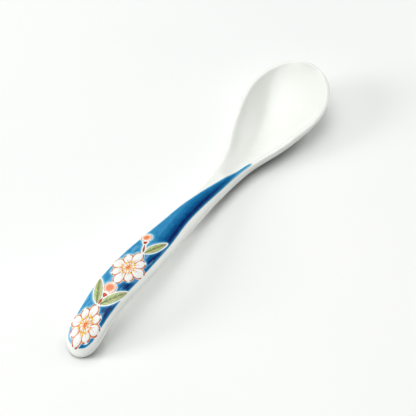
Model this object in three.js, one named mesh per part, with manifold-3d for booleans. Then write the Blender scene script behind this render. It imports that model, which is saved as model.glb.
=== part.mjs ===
// Hand-painted porcelain teaspoon, lying as it rests on a table: a glazed casting with raised enamels.
// Millimetres. +X runs from the handle to the bowl, +Y is the left side, +Z is up, and the table is z = 0.
// Places along the spoon are distances from the handle's end, or from the bowl's end where the name says so.

import * as THREE from 'three';
import { mergeVertices } from 'three/addons/utils/BufferGeometryUtils.js';
import Module from 'manifold-3d';

const wasm = await Module();
wasm.setup();

// Outline seen from above
const OVERALL_LENGTH = 135;
const HANDLE_END_WIDTH = 11.4;
const HANDLE_END_AT = 8;
const HANDLE_WIDTH = 12.7;
const HANDLE_WIDEST_AT = 30;
const WAIST_WIDTH = 9.4;
const WAIST_SHARE = 0.667; // place of the waist on the way from the widest handle to the neck
const NECK_WIDTH = 7.9;
const NECK_FROM_BOWL_END = 63;
const THROAT_WIDTH = 11.5;
const THROAT_FROM_BOWL_END = 45;
const SHOULDER_WIDTH = 22.2;
const SHOULDER_FROM_BOWL_END = 31;
const BOWL_WIDTH = 28.2;
const BOWL_WIDEST_FROM_END = 16.75;
const HANDLE_END_ROUND = 6.35;

// Height of the side edge and rim, seen from the side
const END_HEIGHT = 1.05;
const BEND_HEIGHT = 6.1;
const BEND_AT = 8;
const ARCH_HEIGHT = 9.6;
const ARCH_AT = 18;
const CREST_HEIGHT = 9.7;
const CREST_AT = 30;
const MID_HEIGHT = 7.25;
const MID_SHARE = 0.4; // place of the mid height on the way from the crest to the low neck
const NECK_HEIGHT = 3.95;
const NECK_LOW_FROM_BOWL_END = 55;
const BOWL_RIM_HEIGHT = 7.25;
const BOWL_RIM_FROM_END = 27;
const BOWL_END_HEIGHT = 11.5;

// Cross-section: handle dome above and keel below the side edge, bowl hollow and its wall
const CROWN_HEIGHT = 2.35;
const KEEL_DEPTH = 2.9;
const RIM_HEIGHT = 1.6;
const RIM_WIDTH = 1.5;
const BOWL_DEPTH = 6.45;
const FLOOR_THICKNESS = 2.6;
const HOLLOW_START_FROM_BOWL_END = 55;
const HOLLOW_DEEPEST_FROM_BOWL_END = 27;
const BLEND_START_FROM_BOWL_END = 57;
const BLEND_END_FROM_BOWL_END = 37;
const KEEL_END_FROM_BOWL_END = 64;
const HANDLE_END_EDGE_ROUND = 3.2;
const BOWL_END_EDGE_ROUND = 1.4;
const RUN_OUT = 1.3; // how softly the hollow runs out into the neck
const FULLNESS = 0.75; // how full the hollow's walls are, lower is fuller
const BRIM_SOFTNESS = 0.06; // how softly the hollow bends over into the rim, on the bowl
const THROAT_SOFTNESS = 0.6; // and where it starts in the neck

// Layers: glaze on the body, and the flats where the spoon rests
const GLAZE_THICKNESS = 0.25;
const GLAZE_SEAT = 0.05;
const FOOT_FLAT_DEPTH = 0.6;
const WIPE_HEIGHT = 0.2;

// Enamel relief and the painted field on the handle
const ENAMEL_SEAT = 0.1;
const PETAL_RELIEF = 0.3;
const MOTIF_RELIEF = 0.25;
const BLUE_RELIEF = 0.15;
const PAINT_BORDER_LEFT = 0.7;
const PAINT_BORDER_RIGHT = 1.5;
const PAINT_START = 0.9;
const PAINT_START_ROUND = 1.6;
const PAINT_START_BLUNT = 0.1;
const MOTIF_GAP = 0.5;
const HALO = 0.4;

// Motifs: lengths along the handle, and widths as shares of the painted field's half width
const PETAL_COUNT = 8;
const PETAL_GAP = 0.25;
const PETAL_WIDEST = 0.6; // place of a petal's full width along it
const SHORT_PETAL = 0.8; // length of every second petal as a share of the others'
const ROSETTE_A_LENGTH = 12.2;
const ROSETTE_B_LENGTH = 14;
const ROSETTE_CENTRE_RADIUS = 1.5;
const LEAF_LENGTH = 7.8;
const LEAF_WIDTH_SHARE = 0.48;
const LEAF_ROOT_SHARE = 0.1; // how far from the middle line a leaf springs
const LAST_LEAF_REACH = 0.75;
const BERRY_SHARE = 0.34;
const CALYX_SHARE = 0.45; // calyx radius and stalk width as shares of the berry's radius
const STALK_SHARE = 0.38;
const CALYX_LOBES = 3;
const CALYX_LOBE_DEPTH = 0.3;

// Brush strokes: places of the two swellings along a stroke, and their sizes as shares of its width
const SWELL_START = 0.25;
const SWELL_END = 0.85;
const PETAL_SWELL = [0.4, 0.8];
const LEAF_SWELL = [0.95, 0.38];
const STALK_SWELL = [0.5, 0.8];

// Blue band: the border on its right, and how it tapers from the left
const BAND_BORDER_AT_WAIST = 2;
const BAND_BORDER_AT_NECK = 1.2;
const BAND_BORDER_AT_END = 0.7;
const BAND_TAPER_START_FROM_BOWL_END = 75;
const BAND_TAPER_END_FROM_BOWL_END = 49;
const BAND_END_WIDTH = 1.5;
const BAND_END_PAST_THROAT = 0.4;
const BLUE_PATCHES = 8; // two at the tip, four round the leaf pair, one by the side berry, the band

// Facets: rings along the spoon, points round half a ring, and points on the outlines
const HANDLE_END_RINGS = 8;
const MIDDLE_RINGS = 30;
const BOWL_END_RINGS = 9;
const HALF_RING = 14;
const BLUE_ROWS = 46;
const BLUE_COLUMNS = 8;
const ROW_EASE = 1.4; // above 1 puts the blue field's rows closer together at the handle's end
const PETAL_POINTS = 6;
const LEAF_POINTS = 8;
const STALK_POINTS = 5;
const BLOB_POINTS = 15;
const REST_STEPS = 200;
const TINY = 1e-6;
const WELD = 1e-5;

const FINISHES = {
  porcelain: { color: 0xefede6, roughness: 0.75 },
  glaze: { color: 0xfafaf7, roughness: 0.08 },
  white: { color: 0xfcfbf7, roughness: 0.15 },
  blue: { color: 0x0c4f96, roughness: 0.12 },
  orange: { color: 0xe8742c, roughness: 0.2 },
  salmon: { color: 0xf0a880, roughness: 0.2 },
  red: { color: 0xb52d16, roughness: 0.2 },
  rust: { color: 0xa84a26, roughness: 0.25 },
  green: { color: 0xb4c878, roughness: 0.2 },
};

const fromBowlEnd = (distance) => OVERALL_LENGTH - distance;
const neckAt = fromBowlEnd(NECK_FROM_BOWL_END);
const neckLowAt = fromBowlEnd(NECK_LOW_FROM_BOWL_END);
const waistAt = THREE.MathUtils.lerp(HANDLE_WIDEST_AT, neckAt, WAIST_SHARE);
const midAt = THREE.MathUtils.lerp(CREST_AT, neckLowAt, MID_SHARE);
const throatAt = fromBowlEnd(THROAT_FROM_BOWL_END);
const deepestAt = fromBowlEnd(HOLLOW_DEEPEST_FROM_BOWL_END);
const widestAt = fromBowlEnd(BOWL_WIDEST_FROM_END);

// Smooth line through [distance, value] stations
function lineThrough(stations, endSlope) {
  const last = stations.length - 1;
  const run = (i) => stations[i + 1][0] - stations[i][0];
  const chord = (i) => (stations[i + 1][1] - stations[i][1]) / run(i);
  const slopes = stations.map((station, i) => {
    if (i === 0) return chord(0);
    if (i === last) return endSlope ?? chord(last - 1);
    return (chord(i - 1) * run(i) + chord(i) * run(i - 1)) / (run(i - 1) + run(i));
  });
  return (at) => {
    const x = THREE.MathUtils.clamp(at, stations[0][0], stations[last][0]);
    let i = 0;
    while (i < last - 1 && x > stations[i + 1][0]) i += 1;
    const t = (x - stations[i][0]) / run(i);
    const rise = t * t * (3 - 2 * t);
    const leave = t * (1 - t) * (1 - t) * run(i) * slopes[i];
    const arrive = t * t * (t - 1) * run(i) * slopes[i + 1];
    return stations[i][1] * (1 - rise) + stations[i + 1][1] * rise + leave + arrive;
  };
}

// Falls from 1 to 0 as a quarter of an ellipse while the share goes from 0 to 1
const quarterEllipse = (share) => Math.sqrt(Math.max(0, 1 - Math.max(0, share) ** 2));

const flank = lineThrough([
  [HANDLE_END_AT, HANDLE_END_WIDTH / 2],
  [HANDLE_WIDEST_AT, HANDLE_WIDTH / 2],
  [waistAt, WAIST_WIDTH / 2],
  [neckAt, NECK_WIDTH / 2],
  [throatAt, THROAT_WIDTH / 2],
  [fromBowlEnd(SHOULDER_FROM_BOWL_END), SHOULDER_WIDTH / 2],
  [widestAt, BOWL_WIDTH / 2],
], 0);

function halfWidth(at) {
  const endRound = quarterEllipse((HANDLE_END_ROUND - at) / HANDLE_END_ROUND);
  return flank(at) * endRound * quarterEllipse((at - widestAt) / BOWL_WIDEST_FROM_END);
}

// 0 where the top is domed as on the handle, 1 where it is a rim as on the bowl
function rimShare(at) {
  return THREE.MathUtils.smoothstep(
    at,
    fromBowlEnd(BLEND_START_FROM_BOWL_END),
    fromBowlEnd(BLEND_END_FROM_BOWL_END),
  );
}

function edgeRound(at) {
  const handleEnd = quarterEllipse((HANDLE_END_EDGE_ROUND - at) / HANDLE_END_EDGE_ROUND);
  return handleEnd * quarterEllipse((at - fromBowlEnd(BOWL_END_EDGE_ROUND)) / BOWL_END_EDGE_ROUND);
}

function hollowDepth(at) {
  if (at < deepestAt) {
    const share = (deepestAt - at) / (HOLLOW_START_FROM_BOWL_END - HOLLOW_DEEPEST_FROM_BOWL_END);
    return BOWL_DEPTH * Math.max(0, 1 - share ** 2) ** RUN_OUT;
  }
  const share = (at - deepestAt) / (HOLLOW_DEEPEST_FROM_BOWL_END - RIM_WIDTH);
  return BOWL_DEPTH * Math.max(0, 1 - share ** 2) ** FULLNESS;
}

function domeHeight(at) {
  return THREE.MathUtils.lerp(CROWN_HEIGHT, RIM_HEIGHT, rimShare(at)) * edgeRound(at);
}

// Depth of the underside below the side edge: the keel runs smoothly into the belly of the bowl
function undersideDepth(at) {
  const wall = FLOOR_THICKNESS - RIM_HEIGHT;
  if (at >= deepestAt) return (hollowDepth(at) + wall) * edgeRound(at);
  const belly = THREE.MathUtils.smoothstep(at, fromBowlEnd(KEEL_END_FROM_BOWL_END), deepestAt);
  return THREE.MathUtils.lerp(KEEL_DEPTH, BOWL_DEPTH + wall, belly) * edgeRound(at);
}

const drawnEdge = lineThrough([
  [0, END_HEIGHT],
  [BEND_AT, BEND_HEIGHT],
  [ARCH_AT, ARCH_HEIGHT],
  [CREST_AT, CREST_HEIGHT],
  [midAt, MID_HEIGHT],
  [neckLowAt, NECK_HEIGHT],
  [fromBowlEnd(BOWL_RIM_FROM_END), BOWL_RIM_HEIGHT],
  [OVERALL_LENGTH, BOWL_END_HEIGHT],
]);

// Lowest point of the drawn underside between two places
function lowestPoint(from, to) {
  const step = (to - from) / REST_STEPS;
  let lowest = { at: from, height: Infinity };
  for (let at = from; at <= to; at += step) {
    const height = drawnEdge(at) - undersideDepth(at);
    if (height < lowest.height) lowest = { at, height };
  }
  return lowest;
}

const handleRest = lowestPoint(0, CREST_AT);
const bowlRest = lowestPoint(neckAt, OVERALL_LENGTH);

// The drawn edge, tilted so that both rest points reach the depth that is ground flat
function edgeHeight(at) {
  const share = (at - handleRest.at) / (bowlRest.at - handleRest.at);
  const lift = THREE.MathUtils.lerp(handleRest.height, bowlRest.height, share) + FOOT_FLAT_DEPTH;
  return drawnEdge(at) - lift;
}

// Share of the hollow's depth across the spoon: 1 in the middle, 0 at the side edge, softly bent at the brim
function hollowShare(at, across, half) {
  const hollowHalf = Math.max(half - RIM_WIDTH, TINY);
  const fade = THREE.MathUtils.smoothstep(at, fromBowlEnd(HOLLOW_START_FROM_BOWL_END), deepestAt);
  const softness = THREE.MathUtils.lerp(THROAT_SOFTNESS, BRIM_SOFTNESS, fade);
  const opened = (place) => {
    const plain = 1 - (place / hollowHalf) ** 2;
    return ((plain + Math.hypot(plain, softness)) / 2) ** FULLNESS;
  };
  return (opened(across) - opened(half)) / (opened(0) - opened(half));
}

function topHeight(at, across) {
  const half = Math.max(halfWidth(at), TINY);
  const dome = domeHeight(at) * quarterEllipse(Math.abs(across) / half);
  return edgeHeight(at) + dome - hollowDepth(at) * Math.max(0, hollowShare(at, across, half));
}

function bottomHeight(at, across) {
  const half = Math.max(halfWidth(at), TINY);
  return edgeHeight(at) - undersideDepth(at) * quarterEllipse(Math.abs(across) / half);
}

// Places of the rings: close together at both rounded ends
function ringPlaces() {
  const places = [];
  for (let i = 0; i <= HANDLE_END_RINGS; i += 1) {
    places.push(HANDLE_END_AT * (1 - Math.cos((i / HANDLE_END_RINGS) * Math.PI / 2)));
  }
  for (let i = 1; i <= MIDDLE_RINGS; i += 1) {
    places.push(THREE.MathUtils.lerp(HANDLE_END_AT, widestAt, i / MIDDLE_RINGS));
  }
  for (let i = 1; i <= BOWL_END_RINGS; i += 1) {
    places.push(widestAt + BOWL_WIDEST_FROM_END * Math.sin((i / BOWL_END_RINGS) * Math.PI / 2));
  }
  return places;
}

// One section: over the top from left to right, and back underneath
function sectionRing(at) {
  const half = halfWidth(at);
  const ring = [];
  for (let j = 0; j <= HALF_RING; j += 1) {
    const across = half * Math.cos((j / HALF_RING) * Math.PI);
    ring.push(new THREE.Vector3(at, across, topHeight(at, across)));
  }
  for (let j = 1; j < HALF_RING; j += 1) {
    const across = -half * Math.cos((j / HALF_RING) * Math.PI);
    ring.push(new THREE.Vector3(at, across, bottomHeight(at, across)));
  }
  return ring;
}

// Closed skin over rings of equal count, from a point at one end to a point at the other
function skin(start, rings, end) {
  const count = rings[0].length;
  const points = [start, ...rings.flat(), end];
  const lastRing = 1 + (rings.length - 1) * count;
  const index = [];
  for (let j = 0; j < count; j += 1) {
    const next = (j + 1) % count;
    index.push(0, 1 + next, 1 + j);
    for (let i = 0; i < rings.length - 1; i += 1) {
      const a = 1 + i * count;
      const b = a + count;
      index.push(a + j, a + next, b + j);
      index.push(a + next, b + next, b + j);
    }
    index.push(points.length - 1, lastRing + j, lastRing + next);
  }
  const geometry = new THREE.BufferGeometry().setFromPoints(points);
  geometry.setIndex(index);
  return geometry;
}

function spoonSurface() {
  const places = ringPlaces();
  const start = new THREE.Vector3(0, 0, edgeHeight(0));
  const end = new THREE.Vector3(OVERALL_LENGTH, 0, edgeHeight(OVERALL_LENGTH));
  return skin(start, places.slice(1, -1).map(sectionRing), end);
}

// The same surface, every point moved inwards along its normal
function inset(geometry, distance) {
  const moved = geometry.clone();
  moved.computeVertexNormals();
  const position = moved.getAttribute('position');
  const normal = moved.getAttribute('normal');
  for (let i = 0; i < position.count; i += 1) {
    position.setXYZ(
      i,
      position.getX(i) - normal.getX(i) * distance,
      position.getY(i) - normal.getY(i) * distance,
      position.getZ(i) - normal.getZ(i) * distance,
    );
  }
  return moved;
}

function toSolid(geometry) {
  const plain = geometry.clone();
  plain.deleteAttribute('normal');
  plain.deleteAttribute('uv');
  const merged = mergeVertices(plain, WELD);
  return new wasm.Manifold(new wasm.Mesh({
    numProp: 3,
    vertProperties: new Float32Array(merged.getAttribute('position').array),
    triVerts: new Uint32Array(merged.getIndex().array),
  }));
}

function toGeometry(solid) {
  const mesh = solid.getMesh();
  const geometry = new THREE.BufferGeometry();
  geometry.setAttribute('position', new THREE.BufferAttribute(mesh.vertProperties, 3));
  geometry.setIndex(new THREE.BufferAttribute(mesh.triVerts, 1));
  return geometry;
}

// Everything under a height, as a block wider than the spoon
function below(height) {
  const margin = BOWL_WIDTH;
  const depth = BOWL_WIDTH;
  const block = new THREE.BoxGeometry(OVERALL_LENGTH + margin, BOWL_WIDTH + margin, depth);
  block.translate(OVERALL_LENGTH / 2, 0, height - depth / 2);
  return toSolid(block);
}

function bodyGeometry(surface) {
  const casting = toSolid(inset(surface, GLAZE_THICKNESS + GLAZE_SEAT));
  return toGeometry(casting.subtract(below(0)));
}

function glazeGeometry(surface) {
  const coat = toSolid(surface).subtract(toSolid(inset(surface, GLAZE_THICKNESS)));
  return toGeometry(coat.subtract(below(WIPE_HEIGHT)));
}

// Point on the glaze of the upper side, moved out along the normal by the enamel's seat and a height
function onGlaze(at, across, height) {
  const step = 0.01;
  const slopeAlong = (topHeight(at + step, across) - topHeight(at - step, across)) / (2 * step);
  const slopeAcross = (topHeight(at, across + step) - topHeight(at, across - step)) / (2 * step);
  const normal = new THREE.Vector3(-slopeAlong, -slopeAcross, 1).normalize();
  const foot = new THREE.Vector3(at, across, topHeight(at, across));
  return foot.addScaledVector(normal, ENAMEL_SEAT + height);
}

// The painted field on the handle: its middle line, its half width, and a spot at a share of that
const paintMiddle = (PAINT_BORDER_RIGHT - PAINT_BORDER_LEFT) / 2;
const paintHalf = (at) => halfWidth(at) - (PAINT_BORDER_LEFT + PAINT_BORDER_RIGHT) / 2;
const spot = (at, share) => new THREE.Vector2(at, paintMiddle + share * paintHalf(at));

// Outline of a stroke that starts in a point, swells and ends round or in a point
function strokeOutline(length, width, [base, tip], points) {
  const shape = new THREE.Shape();
  const start = SWELL_START * length;
  const end = SWELL_END * length;
  shape.bezierCurveTo(start, -base * width, end, -tip * width, length, 0);
  shape.bezierCurveTo(end, tip * width, start, base * width, 0, 0);
  return shape.getPoints(points).slice(0, -1);
}

// Outline of a round blob, with lobes where a depth is given
function blobOutline(radius, lobeDepth = 0) {
  const outline = [];
  for (let i = 0; i < BLOB_POINTS; i += 1) {
    const angle = (i / BLOB_POINTS) * Math.PI * 2;
    const reach = radius * (1 - lobeDepth + lobeDepth * Math.cos(CALYX_LOBES * angle));
    outline.push(new THREE.Vector2(reach * Math.cos(angle), reach * Math.sin(angle)));
  }
  return outline;
}

const ORIGIN = new THREE.Vector2();

// An outline turned about its start and moved to its place on the handle, seen from above
function placed(outline, origin, angle) {
  return outline.map((point) => point.clone().rotateAround(ORIGIN, angle).add(origin));
}

function motif(name, finish, relief, outline) {
  const middle = outline.reduce((sum, point) => sum.add(point), new THREE.Vector2());
  return { name, finish, relief, outline, middle: middle.divideScalar(outline.length) };
}

// A flower as long as asked and as wide as the painted field
function rosette(letter, at, flowerLength) {
  const centre = spot(at, 0);
  const squeeze = paintHalf(at) / (flowerLength / 2);
  const fit = (point) => new THREE.Vector2(point.x, point.y * squeeze).add(centre);
  const fitted = (outline) => outline.map(fit);
  const base = ROSETTE_CENTRE_RADIUS + PETAL_GAP;
  const longest = flowerLength / 2 - base;
  const pitch = (Math.PI * 2) / PETAL_COUNT;
  const middle = fitted(blobOutline(ROSETTE_CENTRE_RADIUS));
  const pieces = [motif(`rosette_${letter}_centre`, 'orange', MOTIF_RELIEF, middle)];
  for (let i = 0; i < PETAL_COUNT; i += 1) {
    const angle = i * pitch;
    const length = i % 2 === 0 ? longest : longest * SHORT_PETAL;
    const width = 2 * (base + PETAL_WIDEST * length) * Math.tan(pitch / 2) - PETAL_GAP;
    const origin = new THREE.Vector2(base, 0).rotateAround(ORIGIN, angle);
    const stroke = strokeOutline(length, width, PETAL_SWELL, PETAL_POINTS);
    const outline = fitted(placed(stroke, origin, angle));
    pieces.push(motif(`rosette_${letter}_petal_${i + 1}`, 'white', PETAL_RELIEF, outline));
  }
  return pieces;
}

function leaf(number, from, to) {
  const run = to.clone().sub(from);
  const width = LEAF_WIDTH_SHARE * paintHalf((from.x + to.x) / 2);
  const stroke = strokeOutline(run.length(), width, LEAF_SWELL, LEAF_POINTS);
  return [motif(`leaf_${number}`, 'green', MOTIF_RELIEF, placed(stroke, from, run.angle()))];
}

// A berry that ends at a place along the handle, on its stalk, with the calyx between them
function berry(number, root, end, share) {
  const radius = BERRY_SHARE * paintHalf(end);
  const place = spot(end - radius, share);
  const back = root.clone().sub(place);
  const angle = back.angle();
  const step = (distance) => place.clone().add(back.clone().setLength(distance));
  const calyxRadius = CALYX_SHARE * radius;
  const calyxAt = radius + MOTIF_GAP / 2 + calyxRadius;
  const stalkAt = calyxAt + calyxRadius + MOTIF_GAP / 2;
  const calyx = blobOutline(calyxRadius, CALYX_LOBE_DEPTH);
  const stalk = strokeOutline(back.length() - stalkAt, STALK_SHARE * radius, STALK_SWELL, STALK_POINTS);
  return [
    motif(`berry_${number}`, 'salmon', MOTIF_RELIEF, placed(blobOutline(radius), place, angle)),
    motif(`calyx_${number}`, 'red', MOTIF_RELIEF, placed(calyx, step(calyxAt), angle)),
    motif(`stalk_${number}`, 'rust', MOTIF_RELIEF, placed(stalk, step(stalkAt), angle)),
  ];
}

// The row of motifs, each placed after the one before it; the leaf pair and the side berry reach the border
function motifRow() {
  const rosetteAAt = PAINT_START + ROSETTE_A_LENGTH / 2;
  const leavesAt = rosetteAAt + ROSETTE_A_LENGTH / 2 + MOTIF_GAP;
  const leavesEnd = leavesAt + LEAF_LENGTH;
  const rosetteBAt = leavesEnd + MOTIF_GAP + ROSETTE_B_LENGTH / 2;
  const sprigAt = rosetteBAt + ROSETTE_B_LENGTH / 2 + MOTIF_GAP;
  const sprigEnd = sprigAt + LEAF_LENGTH;
  return [
    ...rosette('a', rosetteAAt, ROSETTE_A_LENGTH),
    ...leaf(1, spot(leavesAt, LEAF_ROOT_SHARE), spot(leavesEnd, 1)),
    ...leaf(2, spot(leavesAt, -LEAF_ROOT_SHARE), spot(leavesEnd, -1)),
    ...berry(1, spot(leavesAt, 0), leavesEnd, 0),
    ...rosette('b', rosetteBAt, ROSETTE_B_LENGTH),
    ...leaf(3, spot(sprigAt, -LEAF_ROOT_SHARE), spot(sprigEnd, -LAST_LEAF_REACH)),
    ...berry(2, spot(sprigAt, 0), sprigEnd, 1 - BERRY_SHARE),
  ];
}

// A raised deposit with a rounded top that follows the glaze: [share of the outline, share of the relief]
const DEPOSIT_LEVELS = [[0.55, 0], [1, 0], [1, 0.45], [0.8, 0.85], [0.45, 0.98]];

function depositGeometry({ outline, middle, relief }) {
  const rings = DEPOSIT_LEVELS.map(([share, rise]) => outline.map((point) => {
    const place = middle.clone().lerp(point, share);
    return onGlaze(place.x, place.y, rise * relief);
  }));
  return skin(onGlaze(middle.x, middle.y, 0), rings, onGlaze(middle.x, middle.y, relief));
}

// Side edges of the blue field: along the borders, until the left one tapers over to the right one
const bandEnd = throatAt + BAND_END_PAST_THROAT;
const rightBorder = lineThrough([
  [HANDLE_WIDEST_AT, PAINT_BORDER_RIGHT],
  [(HANDLE_WIDEST_AT + waistAt) / 2, PAINT_BORDER_RIGHT],
  [waistAt, BAND_BORDER_AT_WAIST],
  [neckAt, BAND_BORDER_AT_NECK],
  [bandEnd, BAND_BORDER_AT_END],
]);
const blueRight = (at) => rightBorder(at) - halfWidth(at);

function blueLeft(at) {
  const taper = THREE.MathUtils.smoothstep(
    at,
    fromBowlEnd(BAND_TAPER_START_FROM_BOWL_END),
    fromBowlEnd(BAND_TAPER_END_FROM_BOWL_END),
  );
  return THREE.MathUtils.lerp(halfWidth(at) - PAINT_BORDER_LEFT, blueRight(at) + BAND_END_WIDTH, taper);
}

// Slab of blue that follows the glaze between its two side edges
function blueSlab() {
  const place = (row, column, height) => {
    const at = THREE.MathUtils.lerp(PAINT_START, bandEnd, (row / BLUE_ROWS) ** ROW_EASE);
    const open = quarterEllipse(1 - (at - PAINT_START + PAINT_START_BLUNT) / PAINT_START_ROUND);
    const half = halfWidth(at);
    const from = Math.acos(blueLeft(at) / half);
    const to = Math.acos(blueRight(at) / half);
    const angle = THREE.MathUtils.lerp(from, to, column / BLUE_COLUMNS);
    return onGlaze(at, open * half * Math.cos(angle), height);
  };
  const rings = [];
  for (let row = 0; row <= BLUE_ROWS; row += 1) {
    const ring = [];
    for (let column = 0; column <= BLUE_COLUMNS; column += 1) ring.push(place(row, column, BLUE_RELIEF));
    for (let column = BLUE_COLUMNS; column >= 0; column -= 1) ring.push(place(row, column, 0));
    rings.push(ring);
  }
  const start = place(0, BLUE_COLUMNS / 2, BLUE_RELIEF / 2);
  const end = place(BLUE_ROWS, BLUE_COLUMNS / 2, BLUE_RELIEF / 2);
  return toSolid(skin(start, rings, end));
}

// Upright column over a motif's outline and the white halo round it
function haloColumn({ outline, middle }) {
  const grown = outline.map((point) => {
    const out = point.clone().sub(middle);
    return out.setLength(out.length() + HALO).add(middle);
  });
  const upright = { depth: BOWL_WIDTH, bevelEnabled: false };
  return toSolid(new THREE.ExtrudeGeometry(new THREE.Shape(grown), upright));
}

// The patches that the motifs and their halos leave, without slivers: left ground, right ground, band
function blueField(motifs) {
  let field = blueSlab();
  for (const piece of motifs) field = field.subtract(haloColumn(piece));
  const bySize = field.decompose().sort((one, other) => other.volume() - one.volume());
  const [band, ...ground] = bySize.slice(0, BLUE_PATCHES);
  const startOf = (patch) => patch.boundingBox().min[0];
  const isLeft = (patch) => patch.boundingBox().max[1] > paintMiddle;
  ground.sort((one, other) => isLeft(other) - isLeft(one) || startOf(one) - startOf(other));
  return [...ground, band].map(toGeometry);
}

const spoon = new THREE.Group();
spoon.name = 'ceramic_teaspoon';
spoon.position.x = -OVERALL_LENGTH / 2;

function addPiece(name, geometry, finish) {
  const material = new THREE.MeshStandardMaterial({ ...FINISHES[finish], metalness: 0 });
  const mesh = new THREE.Mesh(geometry, material);
  mesh.name = name;
  spoon.add(mesh);
}

const surface = spoonSurface();
addPiece('porcelain_body', bodyGeometry(surface), 'porcelain');
addPiece('clear_glaze', glazeGeometry(surface), 'glaze');

const motifs = motifRow();
for (const piece of motifs) addPiece(piece.name, depositGeometry(piece), piece.finish);

const bluePatches = blueField(motifs);
bluePatches.forEach((geometry, i) => {
  const isBand = i === bluePatches.length - 1;
  addPiece(isBand ? 'blue_band' : `blue_ground_${i + 1}`, geometry, 'blue');
});

export default spoon;
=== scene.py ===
import math

import bmesh
import bpy
import numpy as np
from mathutils import Matrix, Vector


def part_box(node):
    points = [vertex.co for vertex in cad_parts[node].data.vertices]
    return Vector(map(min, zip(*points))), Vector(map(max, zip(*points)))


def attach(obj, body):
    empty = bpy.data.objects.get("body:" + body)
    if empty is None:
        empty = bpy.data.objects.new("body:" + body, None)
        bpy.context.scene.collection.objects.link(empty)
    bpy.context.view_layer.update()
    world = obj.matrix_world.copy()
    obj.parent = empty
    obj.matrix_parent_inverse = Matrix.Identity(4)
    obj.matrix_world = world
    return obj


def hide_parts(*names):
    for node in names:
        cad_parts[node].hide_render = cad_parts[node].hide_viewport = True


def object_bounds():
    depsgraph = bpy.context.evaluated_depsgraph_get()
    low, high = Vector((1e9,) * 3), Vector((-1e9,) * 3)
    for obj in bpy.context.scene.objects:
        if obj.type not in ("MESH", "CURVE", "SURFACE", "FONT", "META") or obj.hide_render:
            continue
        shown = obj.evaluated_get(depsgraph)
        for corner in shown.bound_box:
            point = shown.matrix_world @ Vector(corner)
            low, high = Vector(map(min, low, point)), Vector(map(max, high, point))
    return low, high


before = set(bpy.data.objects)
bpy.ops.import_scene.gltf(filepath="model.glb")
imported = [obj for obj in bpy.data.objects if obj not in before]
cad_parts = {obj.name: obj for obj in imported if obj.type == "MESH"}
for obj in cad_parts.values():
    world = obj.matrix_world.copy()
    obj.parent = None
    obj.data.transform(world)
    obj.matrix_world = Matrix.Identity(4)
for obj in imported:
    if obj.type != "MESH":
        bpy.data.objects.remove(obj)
cad_bounds = [list(corner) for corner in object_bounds()]

# Sizes of the spoon in millimetres, x measured from the handle's tip, as in the part's source.
MM = 0.001
LENGTH = 135.0
HANDLE_END_AT, HANDLE_END_WIDTH, HANDLE_END_ROUND = 8.0, 11.4, 6.35
HANDLE_WIDEST_AT, HANDLE_WIDTH = 30.0, 12.7
WAIST_SHARE, WAIST_WIDTH = 0.667, 9.4
NECK_AT, NECK_WIDTH = LENGTH - 63, 7.9
THROAT_AT, THROAT_WIDTH = LENGTH - 45, 11.5
SHOULDER_AT, SHOULDER_WIDTH = LENGTH - 31, 22.2
BOWL_WIDEST_AT, BOWL_WIDTH = LENGTH - 16.75, 28.2
END_HEIGHT, BEND_HEIGHT, ARCH_HEIGHT, CREST_HEIGHT = 1.05, 6.1, 9.6, 9.7
ARCH_AT = 18.0
MID_SHARE, MID_HEIGHT = 0.4, 7.25
LOW_AT, LOW_HEIGHT = LENGTH - 55, 3.95
DEEPEST_AT, BOWL_RIM_HEIGHT = LENGTH - 27, 7.25
BOWL_END_HEIGHT = 11.5
CROWN_HEIGHT, KEEL_DEPTH = 2.35, 2.9
RIM_HEIGHT, RIM_WIDTH = 1.6, 1.5
BOWL_DEPTH, FLOOR_THICKNESS = 6.45, 2.6
HOLLOW_START = LENGTH - 55
BLEND_START, BLEND_END = LENGTH - 57, LENGTH - 37
KEEL_END = LENGTH - 64
HANDLE_EDGE_ROUND, BOWL_EDGE_ROUND = 3.2, 1.4
RUN_OUT, FULLNESS = 1.3, 0.75
BRIM_SOFTNESS, THROAT_SOFTNESS = 0.06, 0.6
FOOT_FLAT_DEPTH, WIPE_HEIGHT = 0.6, 0.2
GLAZE_THICKNESS = 0.25
TINY = 1e-6

# Sizes of the painting.
PAINT_MIDDLE, PAINT_INSET = 0.4, 1.1
PAINT_LEFT, PAINT_RIGHT = 0.7, 1.5
PAINT_START, PAINT_START_ROUND = 0.9, 1.6
HALO = 0.4
PETAL_COUNT, PETAL_GAP, PETAL_WIDEST, SHORT_PETAL = 8, 0.25, 0.6, 0.8
ROSETTE_A_AT, ROSETTE_A_LENGTH = 7.0, 12.2
LEAVES_AT, LEAVES_END = 13.6, 21.4
ROSETTE_B_AT, ROSETTE_B_LENGTH = 28.9, 14.0
SPRIG_AT, SPRIG_END = 36.4, 44.2
CENTRE_RADIUS, STAMENS, STAMEN_REACH = 1.5, 11, 2.35
LEAF_WIDTH_SHARE, LEAF_ROOT_SHARE, LAST_LEAF_REACH = 0.48, 0.1, 0.75
BERRY_SHARE, CALYX_SHARE, STALK_SHARE = 0.34, 0.45, 0.38
CALYX_LOBES, CALYX_LOBE_DEPTH = 3, 0.3
SWELL_START, SWELL_END = 0.25, 0.85
PETAL_SWELL, LEAF_SWELL, STALK_SWELL = (0.4, 0.8), (0.95, 0.38), (0.5, 0.8)
BAND_START, BAND_TAPER_START, BAND_TAPER_END = 30.0, LENGTH - 75, LENGTH - 49
BAND_END, BAND_END_WIDTH = THROAT_AT + 0.4, 1.5
BORDER_AT_WAIST, BORDER_AT_NECK, BORDER_AT_END = 2.0, 1.2, 0.7
PETAL_RELIEF, MOTIF_RELIEF, BLUE_RELIEF, LINE_RELIEF = 0.13, 0.12, 0.12, 0.05
SUNK, DOME_POWER = 0.06, 5
WOBBLE, FINE_WOBBLE = 0.012, 0.01
BLUE_PATCHES, BLUE_EDGE_ROUND, BLUE_CORNER_ROUND = 7, 0.6, 0.1
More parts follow.
